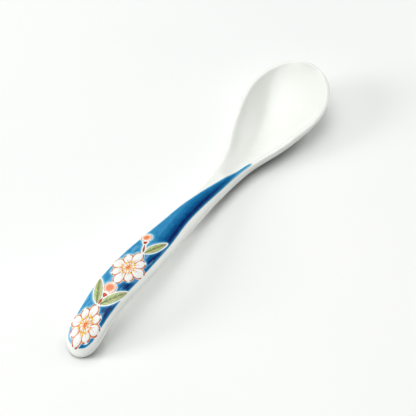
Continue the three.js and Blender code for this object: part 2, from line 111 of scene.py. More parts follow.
GRID_HALF_WIDTH, MOTIF_MARGIN, DEPTH_LIMIT = 7.0, 3.0, 8.0

# Where along the spoon the band pales, and where the pale streaks in the blue end.
FADE_START, FADE_END = 69.0, 84.0
PALE_STREAK_FADE_START, PALE_STREAK_FADE_END = 38.0, 44.0

# Sizes of the drawn lines. A taper: what the root adds to half the width, half the tip's width, a power.
OUTLINE_GAP, OUTLINE_WIDTH = 0.1, 0.3
WASH_LINES, WASH_SPREAD, WASH_REACH = 3, 0.34, 0.42
WASH_TAPER, WASH_RELIEF = (0.075, 0.014, 0.7), 0.03
STAMEN_TAPER = (0.05, 0.08, 0.8)
DOT_GAP, DOT_RADIUS, DOT_HEIGHT = 0.1, 0.35, 0.16
MIDRIB_TAPER, OLIVE_RELIEF = (0.15, 0.06, 1), 0.04
VEINS, VEIN_FIRST, VEIN_STEP, VEIN_SPAN = 7, 0.12, 0.105, 0.2
VEIN_REACH, VEIN_CURVE = 0.92, 1.15
VEIN_TAPER, VEIN_RELIEF = (0.085, 0.03, 0.8), 0.035
LEAF_EDGE_INSET, LEAF_EDGE_WIDTH, LEAF_EDGE_SWELL = 0.975, 0.045, 0.03
BERRY_LINES = ((0.06, 0.47), (0.53, 0.95))
BERRY_LINE_WIDTH, BERRY_LINE_SWELL = 0.06, 0.07
STREAKS, STREAK_SPREAD = 5, 0.3
STREAK_TAPER, STREAK_RELIEF = (0.06, 0.015, 1), 0.03

# The light: a glow overhead that ends at an edge, a faint one on the right (each with its tightness and
# strength), and a low window on the left.
LIGHT_EDGE, EDGE_SOFTNESS = (0.587, -0.773, -0.243), 0.07
SKY_STRENGTH = 0.06
TOP_TURN, TOP_TILT = 64, 84
WIDE_GLOW, TIGHT_GLOW = (4, 2.0), (16, 1.5)
SIDE_TURN, SIDE_TILT, SIDE_GLOW = 330, 33, (8, 1.35)
WINDOW_TURN, WINDOW_TILT, WINDOW_DISTANCE = 131, 22, 1.0
WINDOW_SIZE, WINDOW_GLOW = (0.4, 0.35), 10.5
LIGHT_TINT = (0.99, 1.0, 0.995)

# The table: half its side in metres, and its cells. Its colour holds a painted contact shadow close under
# the spoon: within how many millimetres, and its brightness for each share of open sky.
TABLE_HALF, TABLE_CELLS = 3.0, 8
PAINTED_SHADE_REACH = 4.0
PAINTED_CONTACT_SHADE = [(0.3, 0.42), (0.55, 0.8), (1.0, 1.0)]

# The photograph's camera, in millimetres, degrees and pixels, with the sensor in Blender's usual width.
CAMERA_DISTANCE, CAMERA_AIM = 460.941, (2.884, -0.692, 0)
CAMERA_TURN, CAMERA_TILT = 214.006, 49.809
FOCAL_LENGTH, PHOTO_WIDTH, SENSOR_WIDTH = 1420.533, 416, 36
CAMERA_CLIP = (0.01, 20)

# Fineness of the meshes. A line's section holds steps across it and shares of its height. The line along a
# leaf's edge skips a few points at its root. A cut through a cell of the blue keeps off the cell's corners.
END_RINGS, MIDDLE_RINGS, BOWL_RINGS, AROUND = 40, 210, 60, 56
OUTLINE_POINTS, STROKE_POINTS = 56, 28
WASH_POINTS, STAMEN_POINTS, VEIN_POINTS, DOT_POINTS = 14, 22, 12, 16
FIELD_START_POINTS, FIELD_EDGE_POINTS, REST_POINTS = 30, 200, 201
UNDER_RINGS, DOT_RINGS = [0.5, 1.0], [1.0, 0.9, 0.7, 0.4]
TOP_RINGS = [1.0, 0.985, 0.955, 0.91, 0.84, 0.74, 0.6, 0.42, 0.22]
LINE_SECTION = [(-1, 0), (-0.8, 0.6), (-0.4, 0.92), (0, 1), (0.4, 0.92), (0.8, 0.6), (1, 0)]
LEAF_EDGE_SKIP = (3, 4)
BLUE_CELL, CUT_RANGE = 0.16, (0.1, 0.9)


def smoothstep(value, low, high):
    share = np.clip((value - low) / (high - low), 0, 1)
    return share * share * (3 - 2 * share)


def lerp(low, high, share):
    return low + (high - low) * share


def quarter_ellipse(share):
    return np.sqrt(np.maximum(0, 1 - np.maximum(0, share) ** 2))


def dome(share):
    """The height of a lay of enamel across its outline: near full for most of the way in."""
    return np.sqrt(np.maximum(0, 1 - np.asarray(share, float) ** DOME_POWER))


def taper(run, swell, tip, power):
    """Half the width of a brush line that narrows along its run."""
    return swell * (1 - run) ** power + tip


def full_turn(count):
    return np.linspace(0, 2 * math.pi, count, endpoint=False)


def on_circle(turns):
    return np.stack([np.cos(turns), np.sin(turns)], 1)


def polar(spokes):
    return np.arctan2(spokes[:, 1], spokes[:, 0]), np.linalg.norm(spokes, axis=1)


def line_through(stations, end_slope=None):
    """A smooth line through stations (at, value), as a function."""
    xs, ys = np.array(stations, float).T
    run = np.diff(xs)
    chord = np.diff(ys) / run
    slope = np.empty(len(xs))
    slope[0] = chord[0]
    slope[1:-1] = (chord[:-1] * run[1:] + chord[1:] * run[:-1]) / (run[:-1] + run[1:])
    slope[-1] = chord[-1] if end_slope is None else end_slope

    def value(at):
        at = np.clip(np.asarray(at, float), xs[0], xs[-1])
        i = np.clip(np.searchsorted(xs, at, side="right") - 1, 0, len(run) - 1)
        t = (at - xs[i]) / run[i]
        return (
            ys[i] * (1 + 2 * t) * (1 - t) ** 2
            + slope[i] * run[i] * t * (1 - t) ** 2
            + ys[i + 1] * t * t * (3 - 2 * t)
            + slope[i + 1] * run[i] * t * t * (t - 1)
        )

    return value


# The spoon's surface, as in the part's source.
WAIST_AT = lerp(HANDLE_WIDEST_AT, NECK_AT, WAIST_SHARE)
MID_AT = lerp(HANDLE_WIDEST_AT, LOW_AT, MID_SHARE)
flank = line_through(
    [
        (HANDLE_END_AT, HANDLE_END_WIDTH / 2),
        (HANDLE_WIDEST_AT, HANDLE_WIDTH / 2),
        (WAIST_AT, WAIST_WIDTH / 2),
        (NECK_AT, NECK_WIDTH / 2),
        (THROAT_AT, THROAT_WIDTH / 2),
        (SHOULDER_AT, SHOULDER_WIDTH / 2),
        (BOWL_WIDEST_AT, BOWL_WIDTH / 2),
    ],
    0,
)
drawn_edge = line_through(
    [
        (0, END_HEIGHT),
        (HANDLE_END_AT, BEND_HEIGHT),
        (ARCH_AT, ARCH_HEIGHT),
        (HANDLE_WIDEST_AT, CREST_HEIGHT),
        (MID_AT, MID_HEIGHT),
        (LOW_AT, LOW_HEIGHT),
        (DEEPEST_AT, BOWL_RIM_HEIGHT),
        (LENGTH, BOWL_END_HEIGHT),
    ]
)


def half_width(at):
    tip = quarter_ellipse((HANDLE_END_ROUND - at) / HANDLE_END_ROUND)
    end = quarter_ellipse((at - BOWL_WIDEST_AT) / (LENGTH - BOWL_WIDEST_AT))
    return flank(at) * tip * end


def edge_round(at):
    tip = quarter_ellipse((HANDLE_EDGE_ROUND - at) / HANDLE_EDGE_ROUND)
    return tip * quarter_ellipse((at - LENGTH + BOWL_EDGE_ROUND) / BOWL_EDGE_ROUND)


def hollow_depth(at):
    rising = (DEEPEST_AT - at) / (DEEPEST_AT - HOLLOW_START)
    falling = (at - DEEPEST_AT) / (LENGTH - RIM_WIDTH - DEEPEST_AT)
    before = np.maximum(0, 1 - rising**2) ** RUN_OUT
    after = np.maximum(0, 1 - falling**2) ** FULLNESS
    return BOWL_DEPTH * np.where(at < DEEPEST_AT, before, after)


def dome_height(at):
    return lerp(CROWN_HEIGHT, RIM_HEIGHT, smoothstep(at, BLEND_START, BLEND_END)) * edge_round(at)


def underside_depth(at):
    wall = FLOOR_THICKNESS - RIM_HEIGHT
    keel = lerp(KEEL_DEPTH, BOWL_DEPTH + wall, smoothstep(at, KEEL_END, DEEPEST_AT))
    return np.where(at < DEEPEST_AT, keel, hollow_depth(at) + wall) * edge_round(at)


def lowest(start, end):
    """Where the underside is lowest between two places, before the spoon is set on the table."""
    places = np.linspace(start, end, REST_POINTS)
    heights = drawn_edge(places) - underside_depth(places)
    return places[np.argmin(heights)], heights.min()


HANDLE_REST, BOWL_REST = lowest(0, HANDLE_WIDEST_AT), lowest(NECK_AT, LENGTH)


def edge_height(at):
    """The edge's height once the two rests are on the table, sunk by the depth of their flats."""
    share = (at - HANDLE_REST[0]) / (BOWL_REST[0] - HANDLE_REST[0])
    return drawn_edge(at) - lerp(HANDLE_REST[1], BOWL_REST[1], share) - FOOT_FLAT_DEPTH


def top_height(at, across):
    half = np.maximum(half_width(at), TINY)
    inner = np.maximum(half - RIM_WIDTH, TINY)
    softness = lerp(THROAT_SOFTNESS, BRIM_SOFTNESS, smoothstep(at, HOLLOW_START, DEEPEST_AT))

    def opened(share):
        plain = 1 - share**2
        return ((plain + np.sqrt(plain**2 + softness**2)) / 2) ** FULLNESS

    brim, middle = opened(half / inner), opened(0 * half)
    hollow = (opened(across / inner) - brim) / (middle - brim)
    crown = dome_height(at) * quarter_ellipse(np.abs(across) / half)
    return edge_height(at) + crown - hollow_depth(at) * np.maximum(0, hollow)


def bottom_height(at, across):
    half = np.maximum(half_width(at), TINY)
    return edge_height(at) - underside_depth(at) * quarter_ellipse(np.abs(across) / half)


def on_glaze(plan, rise):
    """Points at a height above the glaze's top, square to it, for plan points (at, across)."""
    at, across = plan.T
    step = 0.02
    z = top_height(at, across)
    along = (top_height(at + step, across) - top_height(at - step, across)) / (2 * step)
    side = (top_height(at, across + step) - top_height(at, across - step)) / (2 * step)
    normal = np.stack([-along, -side, np.ones_like(z)], 1)
    normal /= np.linalg.norm(normal, axis=1)[:, None]
    return np.stack([at, across, z], 1) + normal * np.reshape(rise, (-1, 1))


# Meshes and looks.


def ring_faces(rings, count):
    """The quads between closed rings of points that follow each other."""
    faces = []
    for ring in range(rings - 1):
        for k in range(count):
            a, b = ring * count + k, ring * count + (k + 1) % count
            faces.append((a, b, b + count, a + count))
    return faces


def fan(start, count, tip):
    """The triangles from a ring of points to one point."""
    return [(start + k, start + (k + 1) % count, tip) for k in range(count)]


def make_piece(name, points, faces, material, marks=None, replaces=(), sharp=70):
    """An object from points in millimetres, riding with the spoon, crisp at edges over the sharp angle."""
    mesh = bpy.data.meshes.new(name)
    points = (np.asarray(points, float) - [LENGTH / 2, 0, 0]) * MM
    mesh.from_pydata(points.tolist(), [], faces)
    mesh.validate()
    if marks is not None:
        layer = mesh.attributes.new("brush", "FLOAT_VECTOR", "POINT")
        layer.data.foreach_set("vector", np.asarray(marks, np.float32).ravel())
    shape = bmesh.new()
    shape.from_mesh(mesh)
    bmesh.ops.recalc_face_normals(shape, faces=shape.faces[:])
    shape.to_mesh(mesh)
    shape.free()
    mesh.polygons.foreach_set("use_smooth", [True] * len(mesh.polygons))
    mesh.set_sharp_from_angle(angle=math.radians(sharp))
    mesh.materials.append(material)
    piece = bpy.data.objects.new(name, mesh)
    bpy.context.scene.collection.objects.link(piece)
    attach(piece, "root")
    if replaces:
        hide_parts(*replaces)


class Look:
    """A procedural material, built node by node."""

    def __init__(self, name, **shader):
        self.material = bpy.data.materials.new(name)
        self.material.use_nodes = True
        self.tree = self.material.node_tree
        self.shader = self.tree.nodes["Principled BSDF"]
        self.set(self.shader, shader)

    def set(self, node, inputs):
        for key, value in inputs.items():
            key = key.replace("_", " ") if isinstance(key, str) else key
            if isinstance(value, bpy.types.NodeSocket):
                self.tree.links.new(value, node.inputs[key])
            else:
                node.inputs[key].default_value = value

    def add(self, kind, inputs=None, **settings):
        node = self.tree.nodes.new("ShaderNode" + kind)
        for key, value in settings.items():
            setattr(node, key, value)
        self.set(node, inputs or {})
        return node

    def place(self):
        return self.add("TexCoord").outputs["Object"]

    def brush(self):
        mark = self.add("Attribute", attribute_name="brush")
        return self.add("SeparateXYZ", {0: mark.outputs["Vector"]}).outputs

    def pair(self, first, second):
        return self.add("CombineXYZ", {0: first, 1: second}).outputs[0]

    def noise(self, vector, scale, detail=3.0, rough=0.55):
        inputs = {"Vector": vector, "Scale": scale, "Detail": detail, "Roughness": rough}
        return self.add("TexNoise", inputs).outputs[0]

    def math(self, operation, a, b=0.0):
        return self.add("Math", {0: a, 1: b}, operation=operation).outputs[0]

    def times(self, a, b):
        return self.math("MULTIPLY", a, b)

    def spread(self, value, low, high, to_low=0.0, to_high=1.0):
        inputs = {0: value, 1: low, 2: high, 3: to_low, 4: to_high}
        return self.add("MapRange", inputs).outputs[0]

    def vary(self, noise, low, high):
        """A value between two, by a noise over its usual range."""
        return self.spread(noise, 0.3, 0.7, low, high)

    def ramp(self, value, stops, ease="EASE"):
        node = self.add("ValToRGB", {0: value})
        node.color_ramp.interpolation = ease
        elements = node.color_ramp.elements
        while len(elements) < len(stops):
            elements.new(0.5)
        for element, (at, colour) in zip(elements, stops):
            element.position = at
            element.color = colour
        return node.outputs[0]

    def mix(self, share, a, b, blend="MIX"):
        node = self.add("Mix", data_type="RGBA", blend_type=blend)
        self.set(node, {0: share, 6: a, 7: b})
        return node.outputs[2]

    def bump(self, height, strength, distance):
        inputs = {"Height": height, "Strength": strength, "Distance": distance}
        return self.add("Bump", inputs).outputs[0]

    def surface(self, colour, roughness, normal):
        self.set(self.shader, {"Base Color": colour, "Roughness": roughness, "Normal": normal})
        return self.material


def paint(red, green, blue):
    """A linear colour from the usual 0 to 255 values."""
    share = np.array([red, green, blue]) / 255
    linear = np.where(share <= 0.04045, share / 12.92, ((share + 0.055) / 1.055) ** 2.4)
    return (*linear.tolist(), 1.0)


def grey(share):
    return (share, share, share, 1.0)


def glaze_look():
    look = Look("glazed_porcelain", IOR=1.5, Coat_Weight=0.2, Coat_Roughness=0.08)
    place = look.place()
    cloud = look.noise(place, 90, 4)
    tint = look.ramp(cloud, [(0.3, paint(243, 244, 238)), (0.7, paint(247, 248, 243))])
    speck = look.spread(look.noise(place, 1500, 1), 0.79, 0.84)
    tint = look.mix(speck, tint, paint(205, 196, 176))
    rough = look.vary(look.noise(place, 300, 3), 0.12, 0.18)
    peel = look.noise(place, 420, 2)
    return look.surface(tint, rough, look.bump(peel, 0.12, 0.00012))


def bisque_look():
    look = Look("bare_porcelain", IOR=1.45)
    place = look.place()
    grain = look.noise(place, 2600, 4, 0.7)
    tint = look.ramp(grain, [(0.3, paint(214, 208, 194)), (0.7, paint(236, 232, 222))])
    stain = look.spread(look.noise(place, 500, 3), 0.55, 0.75, 0.0, 0.5)
    tint = look.mix(stain, tint, paint(205, 190, 165))
    rough = look.spread(grain, 0.2, 0.8, 0.65, 0.9)
    return look.surface(tint, rough, look.bump(grain, 0.5, 0.00008))


def white_look():
    """White enamel, with the hairs of the brush along each petal and a warm rim:
    partly pooled enamel, partly painted shade that shows the lay's relief.
    """
    look = Look("white_enamel", IOR=1.5)
    along, across, inward = look.brush()
    hair = look.noise(look.pair(look.times(along, 0.35), across), 7.0, 2)
    tint = look.ramp(hair, [(0.35, paint(240, 240, 235)), (0.6, paint(253, 253, 250))])
    # The warm rim along the petal's edge is partly pooled enamel and partly painted shade.
    thin = look.mix(0.5, tint, paint(242, 236, 226))
    tint = look.mix(look.spread(inward, 0.0, 0.45), thin, tint)
    rough = look.vary(look.noise(look.place(), 700, 2), 0.12, 0.22)
    return look.surface(tint, rough, look.bump(hair, 0.25, 0.0001))


def centre_look():
    """A flower's eye: orange in its middle, washed out to cream."""
    look = Look("orange_enamel", IOR=1.5)
    along, across, inward = look.brush()
    streak = look.noise(look.pair(look.times(across, 2.2), along), 1.6, 2)
    out = look.math("SUBTRACT", CENTRE_RADIUS, inward)
    depth = look.math("ADD", out, look.times(streak, 0.8))
    stops = [
        (0.06, paint(214, 84, 28)),
        (0.17, paint(244, 164, 88)),
        (0.36, paint(252, 222, 156)),
        (0.7, paint(253, 243, 212)),
    ]
    tint = look.ramp(look.spread(depth, 0.5, 2.7), stops)
    rough = look.vary(look.noise(look.place(), 800, 2), 0.12, 0.25)
    return look.surface(tint, rough, look.bump(streak, 0.3, 0.00006))


def dot_look():
    look = Look("yellow_enamel", IOR=1.5)
    pool = look.noise(look.place(), 1400, 2)
    tint = look.ramp(pool, [(0.35, paint(248, 198, 26)), (0.65, paint(255, 226, 70))])
    return look.surface(tint, look.vary(pool, 0.12, 0.25), look.bump(pool, 0.2, 0.00005))


def leaf_look():
    """Green enamel, hatched along the veins, paler at the edge and darker by the midrib."""
    look = Look("green_enamel", IOR=1.5)
    along, across, inward = look.brush()
    side = look.math("ABSOLUTE", across)
    slant = look.math("SUBTRACT", along, look.times(side, 0.9))
    hatch = look.noise(look.pair(slant, look.times(side, 0.3)), 4.5, 2)
    tint = look.ramp(hatch, [(0.35, paint(164, 186, 100)), (0.62, paint(202, 222, 148))])
    tint = look.mix(look.spread(inward, 0.0, 0.5, 0.55, 0.0), tint, paint(222, 232, 178))
    tint = look.mix(look.spread(side, 0.0, 0.7, 0.45, 0.0), tint, paint(128, 142, 66))
    rough = look.vary(look.noise(look.place(), 700, 2), 0.1, 0.22)
    return look.surface(tint, rough, look.bump(hatch, 0.35, 0.0001))


def berry_look():
    look = Look("salmon_enamel", IOR=1.5)
    inward = look.brush()[2]
    wash = look.noise(look.place(), 520, 3)
    depth = look.math("ADD", inward, look.times(wash, 0.7))
    stops = [
        (0.3, paint(252, 246, 238)),
        (0.5, paint(252, 214, 186)),
        (0.75, paint(247, 160, 112)),
        (1.0, paint(240, 138, 88)),
    ]
    tint = look.ramp(look.spread(depth, 0.1, 1.3), stops)
    return look.surface(tint, look.vary(wash, 0.1, 0.22), look.bump(wash, 0.2, 0.0001))


def blue_look():
    """Blue enamel: deepest along the right border, dragged along the spoon, and pale where it is thin;
    its paling toward the left side is partly painted sheen.
    """
    look = Look("blue_enamel", IOR=1.52, Specular_IOR_Level=0.12)
    along, border, inward = look.brush()
    drag = look.noise(look.pair(look.times(along, 0.22), border), 2.6, 4)
    pool = look.noise(look.place(), 230, 3)
    # Depth across the band from its right border: pooled enamel on the right, and toward the left partly a
    # painted sheen.
    thickness_and_sheen = [(0.0, 0.35), (0.13, 1), (0.22, 1), (0.42, 0.52), (0.68, 0.3), (1.0, 0.14)]
    depth = look.ramp(look.spread(border, 0.0, 5.0), [(at, grey(share)) for at, share in thickness_and_sheen])
    depth = look.times(depth, look.vary(drag, 0.75, 1.25))
    depth = look.times(depth, look.vary(pool, 0.85, 1.15))
    depth = look.times(depth, look.spread(inward, 0.0, 0.95))
    depth = look.times(depth, look.spread(along, FADE_START, FADE_END, 1.0, 0.2))
    stops = [
        (0.0, paint(176, 216, 230)),
        (0.06, paint(72, 160, 204)),
        (0.18, paint(34, 122, 174)),
        (0.4, paint(1, 94, 148)),
        (0.66, paint(0, 62, 122)),
        (1.0, paint(0, 30, 94)),
    ]
    # Pale streaks along the blue, only toward the handle's end.
    pale_streak = look.noise(look.pair(look.times(along, 0.25), border), 0.8, 1)
    pale_streak = look.spread(pale_streak, 0.52, 0.66, 0.0, 0.5)
    pale_streak = look.times(pale_streak, look.spread(along, PALE_STREAK_FADE_START, PALE_STREAK_FADE_END, 1.0, 0.0))
    tint = look.mix(pale_streak, look.ramp(depth, stops, "LINEAR"), paint(120, 184, 222))
    return look.surface(tint, look.vary(drag, 0.08, 0.16), look.bump(drag, 0.12, 0.0001))


def red_look():
    """Iron-red enamel, thin in the middle of a lay and pooled along its edge."""
    look = Look("red_enamel", IOR=1.5)
    inward = look.brush()[2]
    pool = look.noise(look.place(), 1100, 3)
    tint = look.mix(look.spread(pool, 0.35, 0.65), paint(214, 70, 22), paint(190, 42, 8))
    tint = look.mix(look.spread(inward, 0.05, 0.3, 0.6, 0.0), tint, paint(158, 30, 6))
    return look.surface(tint, look.vary(pool, 0.12, 0.24), look.bump(pool, 0.3, 0.00005))


def stroke_look(name, thin, thick, end):
    """A drawn line, deeper in colour where the brush was lifted."""
    look = Look(name, IOR=1.5)
    along, _, inward = look.brush()
    pool = look.noise(look.place(), 900, 3)
    tint = look.mix(look.spread(pool, 0.35, 0.65), thin, thick)
    tint = look.mix(look.spread(along, 0.75, 1.0), tint, end)
    fade = look.spread(inward, 0.0, 0.06, 0.45, 0.0)
    tint = look.mix(fade, tint, paint(246, 236, 224))
    return look.surface(tint, look.vary(pool, 0.15, 0.3), look.bump(pool, 0.3, 0.00005))


GLAZE = glaze_look()
BISQUE = bisque_look()
WHITE = white_look()
CENTRE = centre_look()
DOT = dot_look()
LEAF = leaf_look()
BERRY = berry_look()
BLUE = blue_look()
RED = red_look()
RUST = stroke_look("rust_line", paint(228, 134, 64), paint(208, 98, 32), paint(172, 66, 14))
ORANGE = stroke_look("stamen_line", paint(242, 120, 32), paint(228, 90, 12), paint(214, 82, 14))
OLIVE = stroke_look("vein_line", paint(132, 132, 76), paint(104, 104, 52), paint(84, 84, 38))


# The porcelain.


def glaze_points():
    """Rings of points round the spoon, from its tip to the bowl's end, and then the two end points."""
    tip = HANDLE_END_AT * (1 - np.cos(np.linspace(0, math.pi / 2, END_RINGS + 1)))
    middle = np.linspace(HANDLE_END_AT, BOWL_WIDEST_AT, MIDDLE_RINGS + 1)
    bowl_end = np.sin(np.linspace(0, math.pi / 2, BOWL_RINGS + 1))
    bowl_end = BOWL_WIDEST_AT + (LENGTH - BOWL_WIDEST_AT) * bowl_end
    places = np.concatenate([tip[1:-1], middle[:-1], bowl_end[:-1]])
    angles = full_turn(2 * AROUND)
    at = np.repeat(places, len(angles))
    across = half_width(at) * np.tile(np.cos(angles), len(places))
    upper = np.tile(np.sin(angles) >= -TINY, len(places))
    height = np.where(upper, top_height(at, across), bottom_height(at, across))
    # This mesh is finer than the solids, and its brim stays inside their box.
    height = np.minimum(height, cad_bounds[1][2] / MM)
    poles = [[0, 0, float(edge_height(0.0))], [LENGTH, 0, float(edge_height(LENGTH))]]
    points = np.concatenate([np.stack([at, across, height], 1), poles])
    return points, len(places), len(angles)


def build_glaze():
    """The even coat: the outer surface, the same surface set in, and a lip round each bare foot."""
    points, rings, count = glaze_points()
    pole = rings * count
    faces = ring_faces(rings, count) + fan(0, count, pole) + fan(pole - count, count, pole + 1)
    coat = bmesh.new()
    for point in points:
        coat.verts.new(point)
    coat.verts.ensure_lookup_table()
    for face in faces:
        coat.faces.new([coat.verts[i] for i in face])
    bmesh.ops.recalc_face_normals(coat, faces=coat.faces[:])
    coat.normal_update()
    inset = [v.co - v.normal * GLAZE_THICKNESS for v in coat.verts]
    inner = [coat.verts.new(co) for co in inset]
    for face in faces:
        coat.faces.new([inner[i] for i in reversed(face)])
    bmesh.ops.bisect_plane(
        coat,
        geom=coat.verts[:] + coat.edges[:] + coat.faces[:],
        dist=TINY,
        plane_co=(0, 0, WIPE_HEIGHT),
        plane_no=(0, 0, 1),
        clear_inner=True,
    )
    for near_tip in (True, False):
        lip = [e for e in coat.edges if e.is_boundary]
        lip = [e for e in lip if (e.verts[0].co.x < LENGTH / 2) == near_tip]
        bmesh.ops.bridge_loops(coat, edges=lip)
    coat.verts.index_update()
    points = [v.co[:] for v in coat.verts]
    faces = [[v.index for v in f.verts] for f in coat.faces]
    coat.free()
    make_piece("glaze_coat", points, faces, GLAZE, replaces=["clear_glaze"], sharp=60)


def dress_body():
    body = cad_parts["porcelain_body"]
    body.data.materials.clear()
    body.data.materials.append(BISQUE)


# The motifs. Sines stand in for the unevenness of a hand.
deposits = {}
lines = {"rust": [], "orange": [], "olive": [], "dots": []}


def bezier(a, b, c, d, count):
    t = np.linspace(0, 1, count)[:, None]
    return a * (1 - t) ** 3 + 3 * b * t * (1 - t) ** 2 + 3 * c * t * t * (1 - t) + d * t**3


def distance_to(plan, outline):
    """Signed distance from plan points to a closed outline, negative inside."""
    best = np.full(len(plan), np.inf)
    inside = np.zeros(len(plan), bool)
    for a, b in zip(outline, np.roll(outline, -1, axis=0)):
        edge = b - a
        length = max(edge @ edge, TINY**2)
        run = plan - a
        share = np.clip(run @ edge / length, 0, 1)
        best = np.minimum(best, np.linalg.norm(run - share[:, None] * edge, axis=1))
        over = (a[1] > plan[:, 1]) != (b[1] > plan[:, 1])
        rise = edge[1] if abs(edge[1]) > TINY else TINY
        inside ^= over & (plan[:, 0] < a[0] + edge[0] * (plan[:, 1] - a[1]) / rise)
    return np.where(inside, -best, best)


class Deposit:
    """One lay of enamel: an outline on plan, domed, with brush marks (along, across, inward)."""

    def __init__(self, outline, relief, root, heading):
        self.outline = outline
        self.relief = relief
        self.middle = outline.mean(0)
        self.root = root
        self.heading = np.asarray(heading, float) / np.linalg.norm(heading)
        self.side = np.array([-self.heading[1], self.heading[0]])
        self.turn, self.reach = polar(outline - self.middle)

    def at(self, forward, aside):
        """Plan points at distances along and across the lay from its root."""
        return self.root + np.outer(forward, self.heading) + np.outer(aside, self.side)

    def rise(self, plan):
        """How high the lay stands over the glaze at plan points."""
        turn, out = polar(plan - self.middle)
        return self.relief * dome(out / np.interp(turn, self.turn, self.reach, period=2 * math.pi))

    def marks(self, plan):
        run = plan - self.root
        inward = -distance_to(plan, self.outline)
        return np.stack([run @ self.heading, run @ self.side, np.maximum(0, inward)], 1)

    def mesh(self):
        """Rings from the middle of the underside, over the edge, to the middle of the top."""
        count, rings = len(self.outline), len(UNDER_RINGS) + len(TOP_RINGS)
        spokes = self.outline - self.middle
        plan = [self.middle + spokes * share for share in UNDER_RINGS + TOP_RINGS]
        plan = np.concatenate(plan + [self.middle[None], self.middle[None]])
        rises = [-SUNK] * len(UNDER_RINGS) + (self.relief * dome(TOP_RINGS)).tolist()
        rise = np.concatenate([np.repeat(rises, count), [-SUNK, self.relief]])
        under = rings * count
        faces = fan(0, count, under) + ring_faces(rings, count) + fan(under - count, count, under + 1)
        return on_glaze(plan, rise), faces, self.marks(plan)


def flat(plan):
    return np.zeros(len(plan))


def ribbon(path, half, rise, relief=LINE_RELIEF):
    """A brush line along a path: rounded across, sunk a little in what it lies on."""
    run = np.gradient(path, axis=0)
    run /= np.linalg.norm(run, axis=1)[:, None]
    side = np.stack([-run[:, 1], run[:, 0]], 1)
    length = np.linspace(0, 1, len(path))
    section = [(step, relief * share) for step, share in LINE_SECTION] + [(1, -SUNK), (-1, -SUNK)]
    plan, height, marks = [], [], []
    for step, lift in section:
        row = path + side * (half * step)[:, None]
        plan.append(row)
        height.append(rise(row) + lift)
        marks.append(np.stack([length, half * step, half * (1 - abs(step))], 1))
    rows, count = len(section), len(path)
    faces = []
    for row in range(rows):
        after = (row + 1) % rows
        for k in range(count - 1):
            a, b = row * count + k, after * count + k
            faces.append((a, a + 1, b + 1, b))
    faces.append([row * count for row in range(rows)])
    faces.append([row * count + count - 1 for row in reversed(range(rows))])
    points = on_glaze(np.concatenate(plan), np.concatenate(height))
    return points, faces, np.concatenate(marks)


def join_parts(parts):
    """Many small meshes as one."""
    points, faces, marks, base = [], [], [], 0
    for part_points, part_faces, part_marks in parts:
        points.append(part_points)
        marks.append(part_marks)
        faces += [[i + base for i in face] for face in part_faces]
        base += len(part_points)
    return np.concatenate(points), faces, np.concatenate(marks)


def paint_half(at):
    return float(half_width(at)) - PAINT_INSET


def spot(at, share):
    """A plan point at a share of the painting's half width from its middle."""
    return np.array([at, PAINT_MIDDLE + share * paint_half(at)])


def stroke_outline(length, width, swell):
    """A leaf-shaped outline from its root, along its right side to the tip and back along its left."""
    first, second = swell
    half = OUTLINE_POINTS // 2 + 1
    near, far = SWELL_START * length, SWELL_END * length
    start, end = np.zeros(2), np.array([length, 0.0])
    near_pull, far_pull = np.array([near, first * width]), np.array([far, second * width])
    right = bezier(start, near_pull * [1, -1], far_pull * [1, -1], end, half)
    left = bezier(end, far_pull, near_pull, start, half)
    return np.concatenate([right[:-1], left[:-1]])


def wobble(outline, seed, amount):
    """The small unevenness of a hand-laid edge."""
    middle = outline.mean(0)
    turn = full_turn(len(outline))
    grow = 1 + amount * (np.sin(3 * turn + seed) + 0.7 * np.sin(5 * turn + 2.3 * seed))
    return middle + (outline - middle) * grow[:, None]


def turned(outline, angle):
    c, s = math.cos(angle), math.sin(angle)
    return outline @ np.array([[c, s], [-s, c]])


def edge_lines(deposit, seed):
    """Two lines down the sides of a stroke-shaped lay, just outside its edge, thick and thin by hand."""
    half = len(deposit.outline) // 2
    loop = np.concatenate([deposit.outline, deposit.outline[:1]])
    for number, side in enumerate((loop[: half + 1], loop[half:][::-1])):
        away = side - deposit.middle
        away /= np.linalg.norm(away, axis=1)[:, None]
        path = side + away * OUTLINE_GAP
        start = 0.1 + 0.05 * math.sin(seed * 1.7 + number)
        stop = 0.97 - 0.04 * math.sin(seed * 2.9 + number * 2.1) ** 2
        places = np.linspace(start, stop, STROKE_POINTS) * (len(path) - 1)
        steps = np.arange(len(path))
        path = np.stack([np.interp(places, steps, path[:, i]) for i in (0, 1)], 1)
        run = np.linspace(0, 1, STROKE_POINTS)
        press = 0.55 + 0.3 * np.sin(run * 5 + seed + number) ** 2 + 0.35 * run**3
        ends = quarter_ellipse(np.abs(run * 2 - 1) ** 6) * 0.9 + 0.1
        lines["rust"].append(ribbon(path, OUTLINE_WIDTH * press * ends, flat))


def lay_rosette(letter, at, length):
    squeeze = paint_half(at) / (length / 2)
    base = CENTRE_RADIUS + PETAL_GAP
    longest = length / 2 - base
    centre = spot(at, 0)
    for i in range(PETAL_COUNT):
        reach = longest * (1 if i % 2 == 0 else SHORT_PETAL)
        turn = i * 2 * math.pi / PETAL_COUNT
        width = 2 * (base + PETAL_WIDEST * reach) * math.tan(math.pi / PETAL_COUNT) - PETAL_GAP
        outline = stroke_outline(reach, width, PETAL_SWELL) + [base, 0]
        outline = turned(outline, turn) * [1, squeeze] + centre
        seed = i * 1.3 + ord(letter)
        way = np.array([math.cos(turn), squeeze * math.sin(turn)])
        petal = Deposit(wobble(outline, seed, WOBBLE), PETAL_RELIEF, centre + way * base, way)
        deposits[f"rosette_{letter}_petal_{i + 1}"] = (petal, WHITE, "enamel_white")
        edge_lines(petal, seed)
        lay_wash_lines(petal, seed, reach)
    ring = centre + on_circle(full_turn(OUTLINE_POINTS)) * [1, squeeze] * CENTRE_RADIUS
    eye = Deposit(wobble(ring, ord(letter), FINE_WOBBLE), MOTIF_RELIEF, centre, [1, 0])
    deposits[f"rosette_{letter}_centre"] = (eye, CENTRE, "enamel_orange")
    lay_stamens(letter, centre, squeeze, eye)


